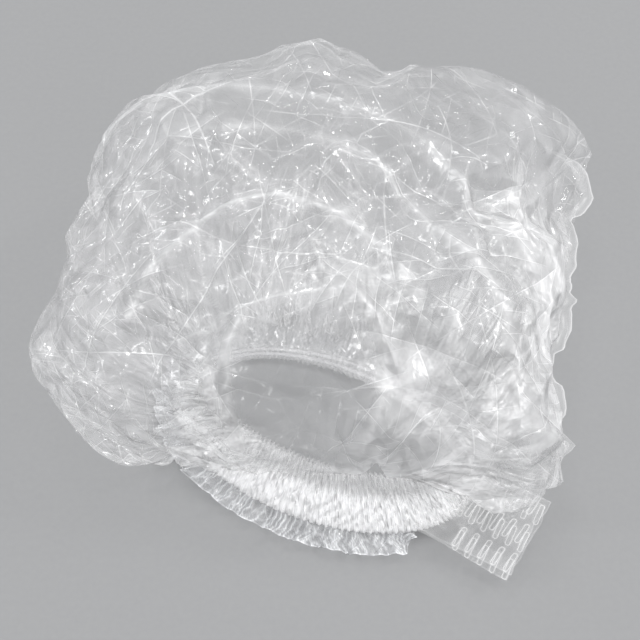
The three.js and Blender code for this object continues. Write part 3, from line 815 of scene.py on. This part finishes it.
# One ply of the tab: a strip from the mouth's ellipse to the tip, nearly flat, with raised weld rims.
def makeTabPly(name, side, node, seed):
    n, m = tab["grid"]
    low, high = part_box(node)
    # the tip's inner corner reaches furthest along X
    tip = (high[0] - mouthCentre[0] - tab["width"] / 2 * abs(math.sin(tab["turn"]))) / math.cos(tab["turn"])
    c, s = math.cos(tab["turn"] - mouth["turn"]), math.sin(tab["turn"] - mouth["turn"])
    y = np.linspace(-tab["width"] / 2, tab["width"] / 2, m)[None, :] + np.zeros((n, 1))
    # the ellipse crossed by the strip's lines along X: the larger root of a quadratic
    a, b = mouth["halfLength"] + tab["rootOffset"], mouth["halfWidth"] + tab["rootOffset"]
    p = (c / a) ** 2 + (s / b) ** 2
    q = 2 * y * c * s * (1 / b ** 2 - 1 / a ** 2)
    k = (y * s) ** 2 / a ** 2 + (y * c) ** 2 / b ** 2 - 1
    root = (-q + np.sqrt(np.maximum(q * q - 4 * p * k, 0))) / (2 * p)
    root = np.maximum(root, tip - tab["length"] - tab["rootSlack"])
    share = np.linspace(0, 1, n)[:, None] + np.zeros((1, m))
    edge = 0.0012 * wander(y[0:1] * 60, seed) * share
    x = root + (tip + edge - root) * share
    height = (low[2] + high[2]) / 2 + 0.0022 * np.sin(share * 2.4 + seed) * share
    height = height + 0.0013 * wander(x * 55 + y * 30, seed, (1, 2, 3)) + side * tab["plyGap"]
    dents = scatter(seed, 26, (0.04, 0.02), (0.006, 0.02), (0.12, 0.3), (0.12, 0.3))
    height = height + crumple(x - tip, y, dents)
    shift, slant = tab["weldShift"][side]
    rims = weldRims(x, y, tip, shift, slant)
    gathered = np.clip(1 - share / 0.25, 0, 1)
    pleats = zigzag(y * 1900 + 3 * np.sin(y * 300))
    height = height + side * tab["weldRise"] * rims + 0.0009 * gathered * pleats
    ct, st = math.cos(tab["turn"]), math.sin(tab["turn"])
    points = np.stack([x * ct - y * st + mouthCentre[0], x * st + y * ct + mouthCentre[1], height], axis=-1)
    uv = np.stack([x, y], axis=-1)
    fromSide = tab["width"] / 2 - np.abs(y)
    border = np.exp(-(((1 - share) / 0.012) ** 2)) + np.exp(-((fromSide / tab["border"]) ** 2))
    whitening = 0.32 * rims + 0.16 * np.clip(border, 0, 1) + 0.10 * gathered
    masks = {"crease": creaseMask(points, False, tab["fullCrease"]), "whitening": whitening}
    piece = gridPiece(name, points, uv, masks, closed=False)
    material = bpy.data.materials.get("weldedFilm") or filmMaterial("weldedFilm", tab["look"])
    piece.data.materials.append(material)
    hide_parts(node)
    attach(piece, "root")
    finish(name)


seam = {
    "from": 317,  # degrees round the crown
    "to": 396,
    "width": 0.0058,
    "columnsAcross": 9,
    "smoothing": 9,  # columns over which its outward direction is averaged
    "flatSize": (0.15, 0.006),
}


# Strip from the crown's own girth outwards, its width tapered at both ends and slightly wavy.
def makeSeam(crownPoints):
    row = int(crown["girthShare"] * crown["rows"])
    first, last = (round(seam[end] / 360 * crown["columns"]) for end in ("from", "to"))
    columns = np.arange(first, last + 1)
    girth = crownPoints[columns % crown["columns"], row]
    n, m = len(columns), seam["columnsAcross"]
    along = np.linspace(0, 1, n)[:, None] + np.zeros((1, m))
    share = np.linspace(0, 1, m)[None, :] + np.zeros((n, 1))
    ahead = np.gradient(girth, axis=0)
    out = np.stack([ahead[:, 1], -ahead[:, 0], 0 * ahead[:, 0]], axis=-1)
    out = out / np.linalg.norm(out, axis=-1, keepdims=True)
    kernel = np.ones(seam["smoothing"]) / seam["smoothing"]
    padded = np.pad(out, ((seam["smoothing"] // 2,) * 2, (0, 0)), mode="edge")
    out = np.stack([np.convolve(padded[:, axis], kernel, "valid") for axis in range(3)], axis=-1)
    taper = np.clip(np.minimum(along, 1 - along) / 0.12, 0.15, 1)
    width = seam["width"] * taper * (1 + 0.12 * wander(along * 6, 91))
    points = girth[:, None, :] + out[:, None, :] * (share * width)[..., None]
    points[..., 2] += 0.0012 * share * wander(along * 9, 92, (2, 5, 9)) + 0.0003 * np.sin(share * 9)
    uv = np.stack([along, share], axis=-1) * seam["flatSize"]
    whitening = 0.10 + 0.35 * np.exp(-(((1 - share) / 0.10) ** 2))
    piece = gridPiece("sideSeamFilm", points, uv, {"crease": 0 * share, "whitening": whitening}, closed=False)
    piece.data.materials.append(bpy.data.materials["weldedFilm"])
    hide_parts("side_seam")
    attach(piece, "root")
    finish("the side seam")
    return piece


elastic = {
    "colours": ((0.82, 0.82, 0.84), (0.93, 0.93, 0.94)),
    "alpha": 0.22,
    "sheen": 0.3,
    "roughness": (0.55, 0.75),
    "ribScale": 900,
    "cloudScale": 160,
    "bump": (0.4, 0.0003),  # strength and distance
}


# Pale, nearly clear rubber: two colours mixed by a cloudy noise, and fine ribs as bump.
def elasticMaterial():
    material = bpy.data.materials.new("elasticRubber")
    material.use_nodes = True
    tree = material.node_tree
    shader = tree.nodes["Principled BSDF"]
    shader.inputs["Sheen Weight"].default_value = elastic["sheen"]
    shader.inputs["Alpha"].default_value = elastic["alpha"]
    place = tree.nodes.new("ShaderNodeTexCoord")
    ribs = tree.nodes.new("ShaderNodeTexVoronoi")
    ribs.inputs["Scale"].default_value = elastic["ribScale"]
    cloud = tree.nodes.new("ShaderNodeTexNoise")
    cloud.inputs["Scale"].default_value = elastic["cloudScale"]
    tree.links.new(place.outputs["Object"], ribs.inputs["Vector"])
    tree.links.new(place.outputs["Object"], cloud.inputs["Vector"])
    mix = tree.nodes.new("ShaderNodeMixRGB")
    mix.inputs["Color1"].default_value = (*elastic["colours"][0], 1)
    mix.inputs["Color2"].default_value = (*elastic["colours"][1], 1)
    tree.links.new(cloud.outputs["Fac"], mix.inputs["Fac"])
    tree.links.new(mix.outputs["Color"], shader.inputs["Base Color"])
    rough = remap(tree, cloud.outputs["Fac"], 0.3, 0.7, *elastic["roughness"])
    tree.links.new(rough, shader.inputs["Roughness"])
    bump = tree.nodes.new("ShaderNodeBump")
    bump.inputs["Strength"].default_value = elastic["bump"][0]
    bump.inputs["Distance"].default_value = elastic["bump"][1]
    tree.links.new(ribs.outputs["Distance"], bump.inputs["Height"])
    tree.links.new(bump.outputs["Normal"], shader.inputs["Normal"])
    return material


# The strands keep their CAD rings.
def dressElastic():
    material = elasticMaterial()
    for node in ("elastic_strand_upper", "elastic_strand_lower"):
        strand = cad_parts[node]
        for materialSlot in strand.material_slots:
            materialSlot.material = material
    finish("the elastic")


camera = {
    "elevation": 58,
    "view": 28,
    "width": 0.270,  # metres across the view at the target
    "target": (-0.004, -0.009, 0.025),
}


# Camera on the mouth's side, turned down by its elevation, as far off as its width and view angle give.
def makeCamera():
    data = bpy.data.cameras.new("camera")
    data.angle = math.radians(camera["view"])
    data.clip_start = 0.01
    obj = bpy.data.objects.new("camera", data)
    bpy.context.scene.collection.objects.link(obj)
    distance = camera["width"] / 2 / math.tan(data.angle / 2)
    up = math.radians(camera["elevation"])
    x, y, z = camera["target"]
    obj.location = (x, y - distance * math.cos(up), z + distance * math.sin(up))
    obj.rotation_euler = (math.pi / 2 - up, 0, 0)
    bpy.context.scene.camera = obj


# Rectangular lamp turned towards a target.
def softBox(name, place, target, size, power, colour):
    data = bpy.data.lights.new(name, "AREA")
    data.shape = "RECTANGLE"
    data.size, data.size_y = size
    data.energy = power
    data.color = colour
    obj = bpy.data.objects.new(name, data)
    bpy.context.scene.collection.objects.link(obj)
    obj.location = place
    direction = np.array(target) - np.array(place)
    flat = math.hypot(direction[0], direction[1])
    heading = math.atan2(direction[1], direction[0])
    obj.rotation_euler = (math.atan2(flat, -direction[2]), 0, heading - math.pi / 2)


stage = {
    "floorReach": 3.0,  # half of its side
    "floorColours": ((0.300, 0.302, 0.306), (0.324, 0.326, 0.330)),
    "floorGrain": 400,
    "worldColour": (0.85, 0.855, 0.87),
    "worldStrength": 0.55,
    "filmLayers": 48,  # that a ray can pass through
    # name, place, target, size, power and colour
    "softBoxes": [("keyBox", (3.1, 1.1, 3.4), (0, 0, 0.04), (0.65, 1.10), 128, (1, 1, 1)),
                  ("topBox", (-0.6, 2.0, 4.4), (0, 0, 0.04), (1.3, 0.65), 50, (1, 1, 1)),
                  ("leftBox", (-3.8, 0.0, 2.5), (0, 0, 0.04), (0.75, 2.0), 66, (0.98, 0.99, 1)),
                  ("frontBox", (1.2, -3.8, 2.3), (0, 0, 0.03), (1.5, 0.75), 60, (1, 1, 1))],
}


# Plain floor, pale world and the soft boxes.
def makeStage():
    mesh = bpy.data.meshes.new("floor")
    reach = stage["floorReach"]
    corners = [(-reach, -reach, 0), (reach, -reach, 0), (reach, reach, 0), (-reach, reach, 0)]
    mesh.from_pydata(corners, [], [(0, 1, 2, 3)])
    floor = bpy.data.objects.new("floor", mesh)
    bpy.context.scene.collection.objects.link(floor)
    material = bpy.data.materials.new("floorPaper")
    material.use_nodes = True
    tree = material.node_tree
    shader = tree.nodes["Principled BSDF"]
    shader.inputs["Roughness"].default_value = 0.9
    shader.inputs["Specular IOR Level"].default_value = 0.1
    place = tree.nodes.new("ShaderNodeTexCoord")
    noise = tree.nodes.new("ShaderNodeTexNoise")
    noise.inputs["Scale"].default_value = stage["floorGrain"]
    noise.inputs["Detail"].default_value = 3
    tree.links.new(place.outputs["Object"], noise.inputs["Vector"])
    mix = tree.nodes.new("ShaderNodeMixRGB")
    mix.inputs["Color1"].default_value = (*stage["floorColours"][0], 1)
    mix.inputs["Color2"].default_value = (*stage["floorColours"][1], 1)
    tree.links.new(noise.outputs["Fac"], mix.inputs["Fac"])
    tree.links.new(mix.outputs["Color"], shader.inputs["Base Color"])
    mesh.materials.append(material)
    world = bpy.data.worlds.new("studio")
    world.use_nodes = True
    background = world.node_tree.nodes["Background"]
    background.inputs["Color"].default_value = (*stage["worldColour"], 1)
    background.inputs["Strength"].default_value = stage["worldStrength"]
    bpy.context.scene.world = world
    for lamp in stage["softBoxes"]:
        softBox(*lamp)
    bpy.context.scene.view_settings.view_transform = "Standard"
    bpy.context.scene.cycles.transparent_max_bounces = stage["filmLayers"]
    finish("the stage")


makeCamera()
makeStage()
crownPiece, crownPoints = makeCrown()
makePly("hemOuterPly", 1, "hem_outer_ply", 51)
makePly("hemInnerPly", -1, "hem_inner_ply", 61)
makeFrill()
makeTabPly("sealTabBack", -1, "seal_tab_back_ply", 3)
makeTabPly("sealTabFront", 1, "seal_tab_front_ply", 5)
seamPiece = makeSeam(crownPoints)
dressElastic()
